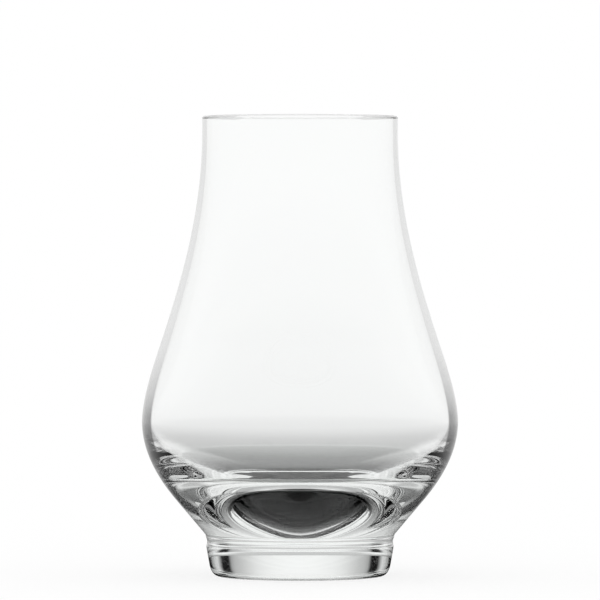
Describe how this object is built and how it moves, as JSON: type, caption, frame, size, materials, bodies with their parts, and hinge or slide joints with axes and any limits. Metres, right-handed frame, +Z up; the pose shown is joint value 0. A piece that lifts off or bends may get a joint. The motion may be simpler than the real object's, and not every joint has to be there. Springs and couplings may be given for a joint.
{
  "type": "nosing glass",
  "caption": "Clear, heavy-based nosing glass: a pear-shaped bowl that narrows to an upright mouth, on a thick solid base, collar and disc foot.",
  "frame": {"origin": "centre of the plane the foot stands on", "axes": "+Z up along the axis of revolution to the mouth; the glass is round, so +X and +Y are free"},
  "size_m": [0.0824, 0.0824, 0.12],
  "materials": {
    "crystal": "clear, polished, very slightly green-grey in the thick base"
  },
  "bodies": {
    "root": {"bowl": "crystal", "base": "crystal", "collar": "crystal", "foot": "crystal"}
  },
  "joints": []
}
